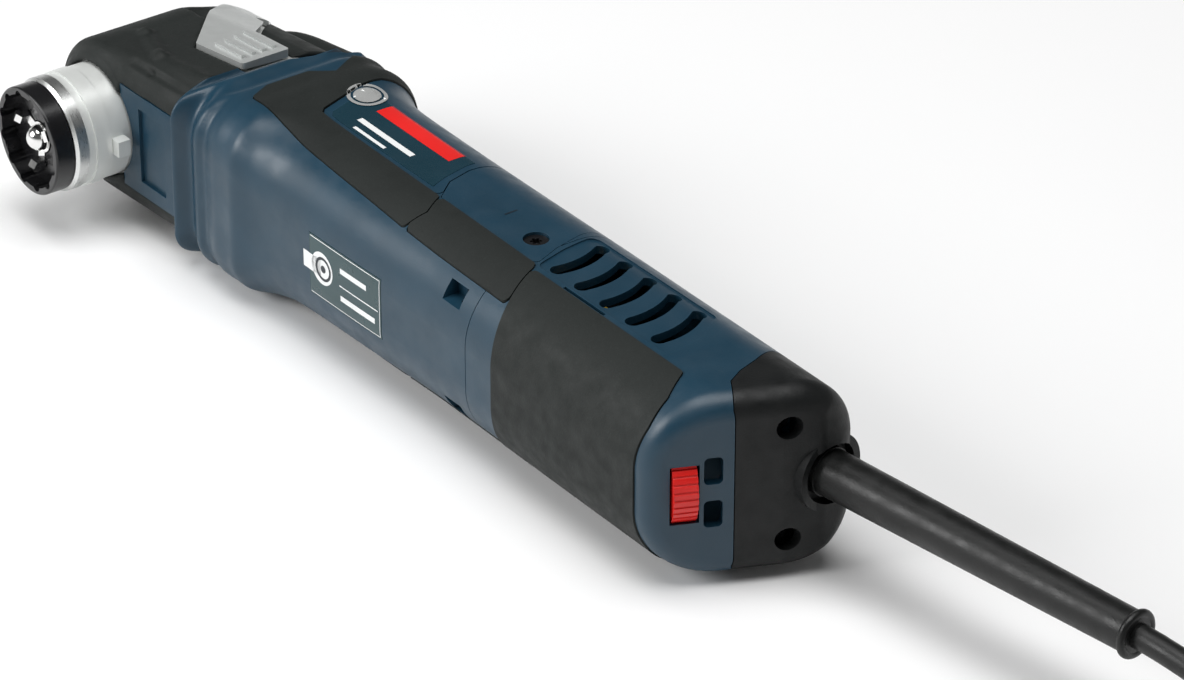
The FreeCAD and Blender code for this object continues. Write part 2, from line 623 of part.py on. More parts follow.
def main_housing():
    """The motor housing: a shell with pockets for grips and panels, webs and screw bosses."""
    outer = body(HEAD_END + 0.15, FRONT_SEAM - SPLIT_GAP / 2)
    inner = body(59.0, FRONT_SEAM + 1, WALL)
    shell = outer.cut([inner, rod_x(23.2, 40, 60)])
    core = whole_body(INLAY)
    for zone in (GRIP_ZONE, LABEL_ZONE, TONGUE_ZONE, STRIP_ZONE):
        shell = shell.cut(region(zone, rounding=CORNER_R).cut(core))
    swing = rod_z(60.0, 24.5, 40, PIVOT_X, PIVOT_Y).common(box(40, 60, -14, 60, 0, 40))
    slide_room = [box(40, 46.8, 24.3, 60, -20.4, 20.4), box(40, 60, 24.9, 28, -3.6, 3.6)]
    shell = shell.cut([swing, mirrored(swing)] + slide_room)
    rod_room = box(168, 182, 25.2, 27.7, -3.7, 3.7)
    web = body(170.0, 180.0, WALL - 0.01).cut([rod_x(11.6, 160, 185), rod_room] + web_windows(168, 182))
    sticker = box(112.2, 148.2, -40, -20, -10.2, 10.2).cut(whole_body(LABEL_DEPTH))
    hole = box(175.5, 183.8, -40, -20, 16.0, 21.5)
    wells = [screw_well(182.0, 2.6, sz) for sz in (-1, 1)]
    return fuse(shell, web).cut([sticker, hole, mirrored(hole)] + wells)


def web_windows(x0, x1):
    """Air and wire openings beside the rear bearing."""
    windows = []
    for k in range(4):
        window = box(x0, x1, 14.0, 22.5, -8.0, 8.0)
        window.rotate(V(0, 0, 0), X_AXIS, 90.0 * k)
        window.translate(V(0, MOTOR_Y, 0))
        windows.append(window)
    return windows


def rear_housing():
    """The rear shell: electronics bay, vents and dial window."""
    inner = body(FRONT_SEAM - 1, TAIL_END + 3, WALL).common(region(TAIL_FACE, shrink=WALL))
    shell = tail().cut(inner).cut(box(100, FRONT_SEAM + SPLIT_GAP / 2, -60, 60, -60, 60))
    shell = shell.cut(region(CAP_ZONE))
    core = whole_body(INLAY)
    for zone in (STRIP_ZONE, REAR_GRIP_ZONE, TONGUE_ZONE):
        shell = shell.cut(region(zone, rounding=CORNER_R).cut(core))
    shell = shell.cut(region(VENT_ZONE, rounding=3.0).cut(whole_body(LABEL_DEPTH)))
    small = box(209, 228, -7.6, -6.6, 24, 40)
    slots = [vent_slot(low, high) for low, high in VENTS] + [small]
    slots += [mirrored(slot) for slot in slots]
    return shell.cut(slots + [dial_window()] + [tail_slot(sz) for sz in (-1, 1)]).Solids[0]


def upper_sleeve():
    """The blue sleeve over the seam between the two housings, with the screws that hold it."""
    sleeve = skin(TONGUE_ZONE)
    return sleeve.cut([screw_well(182.0, 2.6, sz) for sz in (-1, 1)])


def screw_well(x, y, sz):
    """A round recess for a housing screw in the side at +Z or -Z."""
    well = rod_z(3.9, 25.7, 40, x, y).fuse(rod_z(1.8, 15, 40, x, y))
    return well if sz > 0 else mirrored(well)


BOOT_START = (292.0, 21.4, 0.0)
BOOT_TILT = 7.6
CAP_SCREW_FLOOR_X, CAP_SCREW_Y, CAP_SCREW_Z = 284.8, 8.6, 18.0
BOOT_DIR = V(math.cos(math.radians(BOOT_TILT)), math.sin(math.radians(BOOT_TILT)), 0)
FACE_ANGLE = math.degrees(math.atan2(286.2 - 275.5, 23.4))


def on_face(shape):
    """Puts a shape drawn about the origin, facing +X, on the tail face at the dial's place."""
    shape.rotate(V(0, 0, 0), Z_AXIS, -FACE_ANGLE)
    shape.translate(V(280.0, -18.2, 0))
    return shape


def dial_window():
    """The dial's window, wider behind the face so that the wheel clears it."""
    return on_face(fuse(box(-8, 6, -4.2, 4.2, -9.3, 9.3), box(-8, -1.2, -4.2, 4.2, -11.4, 11.4)))


def tail_slot(sz):
    """A rounded opening beside the dial."""
    slot = box(-8, 6, 5.4, 10.8, 2.6, 11.2)
    slot = slot.makeFillet(1.5, [e for e in slot.Edges if e.BoundBox.XLength > 13])
    return on_face(slot if sz > 0 else mirrored(slot))


def front_grip():
    return skin(GRIP_ZONE, GRIP_PROUD)


def name_panel():
    panel = skin(LABEL_ZONE)
    return panel.cut(region(plate_outline(), shrink=-0.1).cut(whole_body(LABEL_DEPTH)))


def plate_outline():
    return [(87.5, -3.6), (85.4, -2.0), (81.0, 12.0), (80.4, 14.5), (135.0, 14.5), (135.4, 10), (137.2, 2), (139.5, -3.6)]


def name_plate():
    """A thin plate on each side of the panel."""
    return whole_body(-0.1).common(region(plate_outline())).cut(whole_body(LABEL_DEPTH))


def rear_grip():
    return skin(REAR_GRIP_ZONE, GRIP_PROUD).Solids[0]


def side_strip():
    return skin(STRIP_ZONE, GRIP_PROUD)


def boot_cylinder(radius, start, length):
    """A cylinder along the boot's axis, start millimetres on from the boot's root."""
    return Part.makeCylinder(radius, length, V(*BOOT_START) + BOOT_DIR * start, BOOT_DIR)


def cord_cap():
    """The cap that closes the tail above the dial and holds the cord."""
    inner = body(FRONT_SEAM - 1, TAIL_END + 3, WALL).common(region(TAIL_FACE, shrink=WALL))
    cap = tail().cut(inner).common(region(CAP_ZONE, shrink=0.3))
    cap = fuse(cap, boot_cylinder(11.6, -6.0, 8.2))
    cap = cap.cut([boot_cylinder(7.45, -14.0, 40), boot_cylinder(9.3, -0.6, 40)])
    wells = [fuse(rod_x(3.6, CAP_SCREW_FLOOR_X, 320, CAP_SCREW_Y, z), rod_x(1.8, 270, 320, CAP_SCREW_Y, z))
             for z in (-CAP_SCREW_Z, CAP_SCREW_Z)]
    return cap.cut(wells).Solids[0]


def cable_boot():
    """The bend-relief boot: a tapering sleeve with a flange inside the cap and a bead at its end."""
    sleeve = Part.makeCone(7.0, 6.1, BOOT_LENGTH - 0.6, V(*BOOT_START), BOOT_DIR)
    bead = Part.makeTorus(5.9, 1.3, V(*BOOT_START) + BOOT_DIR * (BOOT_LENGTH - 1.6), BOOT_DIR)
    flange = boot_cylinder(9.2, -9.0, 2.5).common(box(270, 300, 0, 27.5, -20, 20))
    boot = fuse(sleeve, bead, boot_cylinder(7.35, -8.0, 10.0), flange)
    return boot.cut(boot_cylinder(CORD_R + 0.01, -15.0, BOOT_LENGTH + 40))


# ---------------------------------------------------------------- switch, electronics, tail
def slide_switch():
    """The on-off slide on top, its stem, and the catch at its front."""
    sections = ((14.0, 35.0, 17.4), (20.0, 37.0, 18.3), (28.0, 38.3, 18.8), (36.5, 39.5, 19.2), (44.6, 40.5, 19.5))
    block = Part.makeLoft([rounded_section(x, 20.0, top, hz, 1.0, 8.5) for x, top, hz in sections], True)
    block = block.cut([head(-0.25), box(0, 60, 10, 24.6, -40, 40), box(43.9, 60, 10, 35.6, -40, 40)]).Solids[0]
    return fuse(block, box(30.0, 38.0, 25.7, 36.0, -3.2, 3.2))


def switch_rod():
    """The flat rod from the slide back to the switch."""
    return fuse(box(38.01, 214.0, 25.7, 26.9, -3.2, 3.2), box(212.0, 214.0, 18.0, 26.9, -3.2, 3.2))


def micro_switch():
    return fuse(box(191, 206.4, 12, 24.9, -8, 8), box(206.3, 206.8, 19, 21, -1.5, 1.5))


def capacitor():
    return box(196, 214, 0, 11, -14, 14)


def speed_board():
    board = box(222, 262, -17.6, -16.0, -18, 18)
    chips = [box(228, 238, -16.01, -11, -6, 6), box(244, 252, -16.01, -9, -12, -2)]
    return fuse(board, *chips)


def speed_dial():
    """The thumbwheel: a knurled wheel that stands out of the tail face, its axis across the tool's height."""
    wheel = Part.makeCylinder(DIAL_R, DIAL_WIDTH, V(0, -DIAL_WIDTH / 2, 0), Y_AXIS)
    knurls = []
    for k in range(36):
        a = 2 * math.pi * k / 36
        knurls.append(Part.makeCylinder(0.45, DIAL_WIDTH + 2, V(DIAL_R * math.cos(a), -5, DIAL_R * math.sin(a)), Y_AXIS))
    wheel = wheel.cut(knurls)
    axle = Part.makeCylinder(1.6, 10.4, V(0, -5.2, 0), Y_AXIS)
    wheel = fuse(wheel, axle)
    wheel.translate(V(-DIAL_DEPTH, 0, 0))
    return on_face(wheel)


def dial_bracket():
    """The fork that carries the dial's axle, on the board."""
    cheeks = [box(-4, 4, y, y + 1.2, -4, 4) for y in (-5.4, 4.2)]
    shape = cheeks[0].fuse([cheeks[1], box(-4, -2.8, -5.4, 5.4, -4, 4)])
    shape.translate(V(-DIAL_DEPTH, 0, 0))
    hole = Part.makeCylinder(1.66, 30, V(-DIAL_DEPTH, -15, 0), Y_AXIS)
    wheel_room = Part.makeCylinder(DIAL_R + 0.5, DIAL_WIDTH + 0.6, V(-DIAL_DEPTH, -DIAL_WIDTH / 2 - 0.3, 0), Y_AXIS)
    return on_face(shape.cut([hole, wheel_room]))


def cable_clamp():
    """The bar that holds the cord inside the cap."""
    bar = box(268, 278, 10.5, 14.4, -14, 14)
    return bar.cut(inner_cord())


def inner_cord():
    """The cord inside the tool, from the electronics to the end of the boot."""
    start = V(*BOOT_START)
    return Part.makeCylinder(CORD_R, BOOT_LENGTH + 34.0, start - BOOT_DIR * 34.0, BOOT_DIR)


# ---------------------------------------------------------------- screws and labels
def side_screws():
    return Part.makeCompound([screw((182.0, 2.6, sz * 28.2), (0, 0, -sz), 3.7, 1.7, 9.0) for sz in (-1, 1)])


def tail_screws():
    head_x = CAP_SCREW_FLOOR_X + 2.25
    return Part.makeCompound([screw((head_x, CAP_SCREW_Y, z), (-1, 0, 0), 3.4, 1.75, 9.0, 2.2)
                              for z in (-CAP_SCREW_Z, CAP_SCREW_Z)])


def gearbox_screws():
    return Part.makeCompound([screw((46.4, MOTOR_Y + sy * 14.0, sz * 14.0), (-1, 0, 0), 3.2, 1.9, 10.0)
                              for sy in (-1, 1) for sz in (-1, 1)])


def type_label():
    """The sticker under the motor housing."""
    return whole_body(-0.06).common(box(112.4, 148.0, -40, -20, -10.0, 10.0)).cut(whole_body(LABEL_DEPTH))


NODES = {
    "gear_housing": gear_housing, "collar_ring": collar_ring, "head_cover": head_cover, "head_boot": head_boot,
    "release_lever": release_lever, "lever_pin": lever_pin, "output_spindle": output_spindle,
    "tool_holder": tool_holder, "rocker_fork": rocker_fork, "clamp_rod": clamp_rod, "clamp_hooks": clamp_hooks,
    "clamp_spring": clamp_spring, "spindle_bearing_lower": spindle_bearing_lower,
    "spindle_bearing_upper": spindle_bearing_upper, "spindle_seal": spindle_seal, "front_bearing": front_bearing,
    "rear_bearing": rear_bearing, "bearing_sleeve": bearing_sleeve, "eccentric_bearing": eccentric_bearing,
    "motor_shaft": motor_shaft, "fan": fan, "fan_shroud": fan_shroud,
    "armature_core": armature_core, "armature_windings": armature_windings, "commutator": commutator,
    "stator_core": stator_core, "field_coils": field_coils, "brush_holders": brush_holders, "brushes": brushes,
    "brush_springs": brush_springs, "main_housing": main_housing, "rear_housing": rear_housing, "upper_sleeve": upper_sleeve,
    "front_grip": front_grip, "name_panel": name_panel, "name_plate": name_plate, "rear_grip": rear_grip,
    "side_strip": side_strip, "cord_cap": cord_cap, "cable_boot": cable_boot, "slide_switch": slide_switch,
    "switch_rod": switch_rod, "micro_switch": micro_switch, "capacitor": capacitor, "speed_board": speed_board,
    "speed_dial": speed_dial, "dial_bracket": dial_bracket, "cable_clamp": cable_clamp, "inner_cord": inner_cord,
    "side_screws": side_screws, "tail_screws": tail_screws, "gearbox_screws": gearbox_screws,
    "type_label": type_label,
}


# ---------------------------------------------------------------- cord, coil and plug
FLOOR_Z = -31.2          # the surface that the tool lies on
TURN_PITCH = 7.3         # spacing of the coil's turns, sideways and upwards
COIL_INNER_R = 29.1      # centre line of the innermost turn
COIL_X, COIL_Y = 521.0, -17.6
PLUG_BACK_X = COIL_X + 14.0
PIN_R, PIN_LENGTH, PIN_SPACING = 2.4, 19.0, 19.0

BOOT_END = V(*BOOT_START) + BOOT_DIR * BOOT_LENGTH
LIE_Z = FLOOR_Z + CORD_R + 0.1
COIL_OUTER_R = COIL_INNER_R + 4 * TURN_PITCH
COIL_TOP_Z = LIE_Z + 2 * TURN_PITCH + CORD_R

# Route of the cord's free stretch, from the boot down to the surface and along to the coil
ROUTE = [
    BOOT_END,
    V(423.5, 38.9, -0.7),
    V(442.5, 40.6, -5.2),
    V(461.5, 41.6, -13.4),
    V(481.0, 41.8, -21.8),
    V(501.5, 41.3, -26.6),
    V(COIL_X, COIL_Y + COIL_OUTER_R, LIE_Z),
]
# Route of the last stretch, up out of the coil's top and over its turns to the plug
TAIL_ROUTE = [
    V(COIL_X - 20.0, COIL_Y + 28.0, COIL_TOP_Z - 2.0),
    V(COIL_X - 6.0, COIL_Y + 31.6, COIL_TOP_Z + 3.2),
    V(PLUG_BACK_X + 0.5, COIL_Y + 32.0, COIL_TOP_Z + 7.2),
]


def rounded_path(points, label):
    """Straight runs joined by the largest tangent arcs that fit, and the path's length."""
    edges, start, length = [], points[0], 0.0
    for before, corner, after in zip(points, points[1:], points[2:]):
        u = (corner - before).normalize()
        w = (after - corner).normalize()
        turn = u.getAngle(w)
        reach = 0.45 * min((corner - before).Length, (after - corner).Length)
        radius = reach / math.tan(turn / 2)
        print(label, "bend radius", round(radius, 1))
        into, out = corner - u * reach, corner + w * reach
        sag = radius / math.cos(turn / 2) - radius
        middle = corner + (w - u).normalize() * sag
        edges.append(Part.LineSegment(start, into).toShape())
        edges.append(Part.Arc(into, middle, out).toShape())
        length += (into - start).Length + radius * turn
        start = out
    edges.append(Part.LineSegment(start, points[-1]).toShape())
    return Part.Wire(edges), length + (points[-1] - start).Length


def tube(points, radius, label):
    """A round tube along a route, its volume compared with section times length."""
    path, length = rounded_path(points, label)
    start = (points[1] - points[0]).normalize()
    section = Part.Wire(Part.makeCircle(radius, points[0], start))
    solid = path.makePipeShell([section], True, False)
    ratio = solid.Volume / (math.pi * radius * radius * length)
    print(label, "length", round(length, 1), "volume over section times length", round(ratio, 4))
    return solid


def power_cord():
    return tube(ROUTE, CORD_R, "cord")


def cord_coil():
    """The outer shape of the put-away turns, as one ring with rounded edges."""
    outer = COIL_OUTER_R + CORD_R
    inner = COIL_INNER_R - CORD_R
    ring = Part.makeCylinder(outer, COIL_TOP_Z - FLOOR_Z, V(COIL_X, COIL_Y, FLOOR_Z), Z_AXIS)
    ring = ring.cut(Part.makeCylinder(inner, 60, V(COIL_X, COIL_Y, FLOOR_Z - 5), Z_AXIS))
    rims = [e for e in ring.Edges if e.BoundBox.ZLength < 0.01 and e.BoundBox.ZMin > FLOOR_Z + 5]
    ring = ring.makeFillet(CORD_R * 0.9, rims)
    return ring.cut(power_cord())


def cord_tail():
    return tube(TAIL_ROUTE, CORD_R, "tail")


def mains_plug():
    """A flat two-pin plug with a tapering relief, lying on the coil."""
    x, y, z = PLUG_BACK_X, TAIL_ROUTE[-1].y, TAIL_ROUTE[-1].z
    relief = Part.makeCone(4.6, 6.2, 13.0, V(x, y, z), X_AXIS)
    shape = [(x + 10.0, 9.5, 6.2), (x + 22.0, 15.0, 6.8), (x + 34.0, 17.6, 6.8)]
    sections = []
    for sx, half_y, half_z in shape:
        wire = rounded_section(sx, -half_y, half_y, half_z, 5.0, 5.0)
        wire.translate(V(0, y, z))
        sections.append(wire)
    grip = Part.makeLoft(sections, True)
    pins = []
    for sy in (-1, 1):
        at = y + sy * PIN_SPACING / 2
        sleeve = Part.makeCylinder(PIN_R, PIN_LENGTH, V(x + 33.0, at, z), X_AXIS)
        tip = Part.makeSphere(PIN_R, V(x + 33.0 + PIN_LENGTH, at, z))
        pins.append(sleeve.fuse(tip))
    plug = fuse(grip, relief, *pins)
    return plug.cut(Part.makeCylinder(CORD_R + 0.01, 9.0, V(x - 5, y, z), X_AXIS))


CORD_NODES = {"power_cord": power_cord, "cord_coil": cord_coil, "cord_tail": cord_tail, "mains_plug": mains_plug}


# ---------------------------------------------------------------- placing and writing
def main():
    os.makedirs("parts", exist_ok=True)
    shapes = {name: make() for name, make in NODES.items()}
    reach = FreeCAD.BoundBox()
    for shape in shapes.values():
        reach.add(shape.optimalBoundingBox(False))
    shift = V(-reach.Center.x, -reach.Center.y, -reach.ZMin)
    print("shift to the row frame", shift)
    for name, make in CORD_NODES.items():
        shapes[name] = make()
    for name, shape in shapes.items():
        shape.translate(shift)
        shape.exportStep("parts/" + name + ".step")


if __name__ == "__main__":
    main()
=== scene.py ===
"""Looks for an oscillating multi tool lying on its side: camera, cord, materials and surface detail."""
import json
import math

import bmesh
import bpy
from mathutils import Matrix, Vector
from mathutils.bvhtree import BVHTree


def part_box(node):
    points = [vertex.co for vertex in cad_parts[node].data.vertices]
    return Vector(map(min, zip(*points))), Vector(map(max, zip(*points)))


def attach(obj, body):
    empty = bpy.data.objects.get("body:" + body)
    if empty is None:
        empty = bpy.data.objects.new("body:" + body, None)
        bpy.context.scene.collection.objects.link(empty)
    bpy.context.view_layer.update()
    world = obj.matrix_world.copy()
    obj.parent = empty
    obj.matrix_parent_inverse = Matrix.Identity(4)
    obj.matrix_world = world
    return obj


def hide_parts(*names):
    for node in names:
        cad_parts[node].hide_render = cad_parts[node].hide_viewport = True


MM = 0.001
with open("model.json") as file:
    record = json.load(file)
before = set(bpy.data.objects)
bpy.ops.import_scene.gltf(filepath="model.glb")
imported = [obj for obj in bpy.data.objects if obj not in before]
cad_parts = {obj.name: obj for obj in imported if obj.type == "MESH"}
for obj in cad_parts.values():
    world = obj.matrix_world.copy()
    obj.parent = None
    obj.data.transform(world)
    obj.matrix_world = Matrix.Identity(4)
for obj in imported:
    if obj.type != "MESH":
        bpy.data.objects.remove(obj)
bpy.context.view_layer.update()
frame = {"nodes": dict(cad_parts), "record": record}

# ---------------------------------------------------------------- the tool's own frame
# Millimetres from the point where the body's own axis meets the spindle's: +X towards the cord,
# -Y towards the accessory, +Z out of the flank that faces up. The mid plane is Z = 0.
HOLDER_RIM_Y = -57.8
low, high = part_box("tool_holder")
ORIGIN = Vector(((low[0] + high[0]) / 2, low[1] - HOLDER_RIM_Y * MM, (low[2] + high[2]) / 2))


def at(x, y, z):
    """A point of the tool's own frame, in the row frame and metres."""
    return ORIGIN + Vector((x, y, z)) * MM


# ---------------------------------------------------------------- camera
CAMERA_AT = (1290.25, -791.72, 804.91)
AZIMUTH, ELEVATION = math.radians(53.7), math.radians(30.7)
LENS, SENSOR = 167.23, 36.0
SIGHT = 20.0             # metres to which the camera sees


def add_camera():
    """The camera, far off and long-lensed, looking down along the tool from its tail."""
    data = bpy.data.cameras.new("camera")
    data.lens = LENS
    data.sensor_width = SENSOR
    data.clip_end = SIGHT
    camera = bpy.data.objects.new("camera", data)
    bpy.context.scene.collection.objects.link(camera)
    back = Vector((math.sin(AZIMUTH) * math.cos(ELEVATION), -math.cos(AZIMUTH) * math.cos(ELEVATION),
                   math.sin(ELEVATION)))
    right = Vector((math.cos(AZIMUTH), math.sin(AZIMUTH), 0))
    up = back.cross(right)
    turn = Matrix((right, up, back)).transposed().to_4x4()
    camera.matrix_world = Matrix.Translation(at(*CAMERA_AT)) @ turn
    bpy.context.scene.camera = camera


add_camera()

# ---------------------------------------------------------------- cord
CORD_D = 7.2
BOOT_END = (405.990, 36.609, 0.0)
LIE_Z = -27.5            # the centre line's height where the cord lies on the floor
COIL_X, COIL_Y = 521.0, -17.6
TURN_PITCH = 7.175       # between neighbouring turns and between layers
COIL_INNER_R = 29.6
STEPS = 24               # points in a turn
JOG = 9                  # how many of them move over to the next turn
LIFT_OFF = 15            # the step of the last turn at which the cord starts to rise towards the plug
LIFT_SHARE = 0.86        # how far through its climb the cord is where it comes straight
PLUG_AT = (535.5, 14.4, -2.1)
NEAR_PLUG = (7.5, -0.1)  # a point before the plug: along X from the coil's middle, up from the plug

ROUTE = [
    BOOT_END,
    (423.5, 38.9, -0.7),
    (442.5, 40.6, -5.2),
    (461.5, 41.6, -13.4),
    (481.0, 41.8, -21.8),
    (501.5, 41.3, -26.6),
]


def coil_turns():
    """The put-away turns: in along the bottom layer, out along the middle one, in along the top one.
    Each turn keeps its radius except over its last few points, where it moves to the next. The last one stops
    where the cord lifts off."""
    radii = [COIL_INNER_R + TURN_PITCH * k for k in (4, 3, 2, 1, 0, 0, 1, 2, 3, 4, 4, 3, 2, 1)]
    levels = [0] * 5 + [1] * 5 + [2] * 4
    points = []
    for turn, (radius, level) in enumerate(zip(radii, levels)):
        last = turn == len(radii) - 1
        next_radius = radius if last else radii[turn + 1]
        next_level = level if last else levels[turn + 1]
        for step in range(LIFT_OFF if last else STEPS):
            t = max(0.0, (step - (STEPS - JOG)) / JOG)
            t = t * t * (3 - 2 * t)
            r = radius + (next_radius - radius) * t
            z = LIE_Z + (level + (next_level - level) * t) * TURN_PITCH
            a = math.pi / 2 - 2 * math.pi * step / STEPS
            points.append((COIL_X + r * math.cos(a), COIL_Y + r * math.sin(a), z))
    return points


def tail_points():
    """The last stretch: it winds in and up off the top turn, then runs straight into the plug."""
    count = STEPS - LIFT_OFF + 1
    first_r, last_r = COIL_INNER_R + TURN_PITCH, PLUG_AT[1] - COIL_Y
    first_z = LIE_Z + 2 * TURN_PITCH
    points = []
    for k in range(1, count + 1):
        a = math.pi / 2 + 2 * math.pi * (count - k) / STEPS
        r = first_r + (last_r - first_r) * k / count
        t = LIFT_SHARE * k / count
        z = first_z + (PLUG_AT[2] - first_z) * t * t * (3 - 2 * t)
        points.append((COIL_X + r * math.cos(a), COIL_Y + r * math.sin(a), z))
    return points + [(COIL_X + NEAR_PLUG[0], PLUG_AT[1], PLUG_AT[2] + NEAR_PLUG[1]), PLUG_AT]


CURVE_STEPS = 6          # fineness of a tube, along it and round it


def add_curve(name, points, radius):
    """A round tube along a smooth line whose control points are given. The points carry the tube's radius."""
    data = bpy.data.curves.new(name, "CURVE")
    data.dimensions = "3D"
    data.bevel_depth = 1.0
    data.bevel_resolution = data.resolution_u = CURVE_STEPS
    spline = data.splines.new("NURBS")
    spline.points.add(len(points) - 1)
    for control, p in zip(spline.points, points):
        control.co = (*at(*p), 1.0)
        control.radius = radius * MM
    spline.order_u = 3
    spline.use_endpoint_u = True
    curve = bpy.data.objects.new(name, data)
    bpy.context.scene.collection.objects.link(curve)
    return curve


cord = add_curve("mains_cord", ROUTE + coil_turns() + tail_points(), CORD_D / 2)
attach(cord, "housing")
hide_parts("power_cord", "cord_coil", "cord_tail")


# ---------------------------------------------------------------- materials
class Shade:
    """A material's node tree, with short calls for the nodes that every surface here uses."""

    def __init__(self, name, colour, roughness, metallic=0.0):
        self.material = bpy.data.materials.new(name)
        self.material.use_nodes = True
        self.nodes = self.material.node_tree.nodes
        self.links = self.material.node_tree.links
        self.bsdf = self.nodes["Principled BSDF"]
        self.colour = (*colour, 1.0)
        self.bsdf.inputs["Base Color"].default_value = self.colour
        self.bsdf.inputs["Roughness"].default_value = roughness
        self.bsdf.inputs["Metallic"].default_value = metallic
        self.material.diffuse_color = self.colour
        self.place = self.nodes.new("ShaderNodeTexCoord").outputs["Object"]
        self.normal = None

    def noise(self, scale, detail=3.0, stretch=None):
        """Noise of so many features a metre, drawn out along an axis if stretch says so."""
        node = self.nodes.new("ShaderNodeTexNoise")
        node.inputs["Scale"].default_value = scale
        node.inputs["Detail"].default_value = detail
        place = self.place
        if stretch:
            mapping = self.nodes.new("ShaderNodeMapping")
            mapping.inputs["Scale"].default_value = stretch
            self.links.new(place, mapping.inputs["Vector"])
            place = mapping.outputs["Vector"]
        self.links.new(place, node.inputs["Vector"])
        return node.outputs["Fac"]

    def remap(self, value, from_low, from_high, to_low, to_high):
        """A value moved from one range to another, and held inside it."""
        node = self.nodes.new("ShaderNodeMapRange")
        span = {"From Min": from_low, "From Max": from_high, "To Min": to_low, "To Max": to_high}
        for key, number in span.items():
            node.inputs[key].default_value = number
        self.links.new(value, node.inputs["Value"])
        return node.outputs["Result"]

    def tint(self, factor, colour):
        """Mixes a colour over what is there, by factor."""
        mix = self.nodes.new("ShaderNodeMix")
        mix.data_type = "RGBA"
        base = self.bsdf.inputs["Base Color"]
        if base.links:
            self.links.new(base.links[0].from_socket, mix.inputs["A"])
        else:
            mix.inputs["A"].default_value = base.default_value
        mix.inputs["B"].default_value = (*colour, 1.0)
        self.links.new(factor, mix.inputs["Factor"])
        self.links.new(mix.outputs["Result"], base)

    def roughen(self, factor, low, high):
        """Roughness that follows a factor between two values."""
        self.links.new(self.remap(factor, 0.3, 0.7, low, high), self.bsdf.inputs["Roughness"])

    def bump(self, height, depth):
        """Relief of that depth in metres, added to any there is."""
        node = self.nodes.new("ShaderNodeBump")
        node.inputs["Distance"].default_value = depth
        node.inputs["Strength"].default_value = 1.0
        self.links.new(height, node.inputs["Height"])
        if self.normal:
            self.links.new(self.normal, node.inputs["Normal"])
        self.normal = node.outputs["Normal"]
        self.links.new(self.normal, self.bsdf.inputs["Normal"])

    def worn_edges(self, colour, width, amount):
        """Lighter rubbed edges, broken up by noise."""
        bevel = self.nodes.new("ShaderNodeBevel")
        bevel.inputs["Radius"].default_value = width
        geometry = self.nodes.new("ShaderNodeNewGeometry")
        dot = self.nodes.new("ShaderNodeVectorMath")
        dot.operation = "DOT_PRODUCT"
        self.links.new(bevel.outputs["Normal"], dot.inputs[0])
        self.links.new(geometry.outputs["Normal"], dot.inputs[1])
        edge = self.remap(dot.outputs["Value"], 0.97, 0.7, 0.0, amount)
        broken = self.nodes.new("ShaderNodeMath")
        broken.operation = "MULTIPLY"
        self.links.new(edge, broken.inputs[0])
        self.links.new(self.remap(self.noise(900.0), 0.4, 0.65, 0.3, 1.0), broken.inputs[1])
        self.tint(broken.outputs["Value"], colour)


# In these four, noise has so many features a metre, and relief and the width of edges are in metres.
def moulded(name, colour, roughness, grain=1.0):
    """Moulded plastic: a faint cloudiness, a spark-eroded grain and edges rubbed a little lighter."""
    s = Shade(name, colour, roughness)
    lighter = tuple(min(1.0, c * 1.5 + 0.004) for c in colour)
    s.tint(s.remap(s.noise(60.0, 4.0), 0.35, 0.75, 0.0, 0.35), lighter)
    s.roughen(s.noise(140.0, 4.0), roughness - 0.06, roughness + 0.08)
    s.bump(s.noise(2600.0, 2.0), 0.00003 * grain)
    s.bump(s.noise(90.0, 2.0), 0.00006)
    s.worn_edges(tuple(min(1.0, c * 2.2 + 0.02) for c in colour), 0.0005, 0.55)
    return s


def rubbery(name, colour, roughness=0.62, specular=0.3):
    """Soft grip: matt, finely stippled, with pale dust in its grain."""
    s = Shade(name, colour, roughness)
    s.bsdf.inputs["Specular IOR Level"].default_value = specular
    s.tint(s.remap(s.noise(1500.0, 5.0), 0.55, 0.75, 0.0, 0.5), tuple(c * 1.9 for c in colour))
    s.tint(s.remap(s.noise(45.0, 3.0), 0.4, 0.8, 0.0, 0.3), tuple(c * 1.6 for c in colour))
    s.roughen(s.noise(200.0, 3.0), roughness - 0.08, roughness + 0.1)
    s.bump(s.noise(1900.0, 3.0), 0.00006)
    s.worn_edges(tuple(c * 2.4 for c in colour), 0.0006, 0.4)
    return s


def metal(name, colour, roughness, stretch=(1, 1, 1)):
    """Bare metal, with tool marks drawn out along the axes where stretch is 1."""
    s = Shade(name, colour, roughness, 1.0)
    s.tint(s.remap(s.noise(70.0, 4.0), 0.4, 0.7, 0.0, 0.35), tuple(c * 0.85 for c in colour))
    s.roughen(s.noise(500.0, 4.0, stretch), roughness - 0.05, roughness + 0.08)
    s.bump(s.noise(900.0, 3.0, stretch), 0.00001)
    s.worn_edges((0.9, 0.9, 0.88), 0.0004, 0.5)
    return s


def satin(name, colour, roughness, grain, metallic):
    """Silver lacquer over a casting: part metal, part paint, with a faint orange peel."""
    s = Shade(name, colour, roughness, metallic)
    s.tint(s.remap(s.noise(60.0, 4.0), 0.4, 0.7, 0.0, 0.4), tuple(c * 0.9 for c in colour))
    s.roughen(s.noise(300.0, 4.0), roughness - 0.05, roughness + 0.07)
    s.bump(s.noise(1500.0, 3.0), grain)
    s.worn_edges((0.92, 0.92, 0.91), 0.0004, 0.6)
    return s


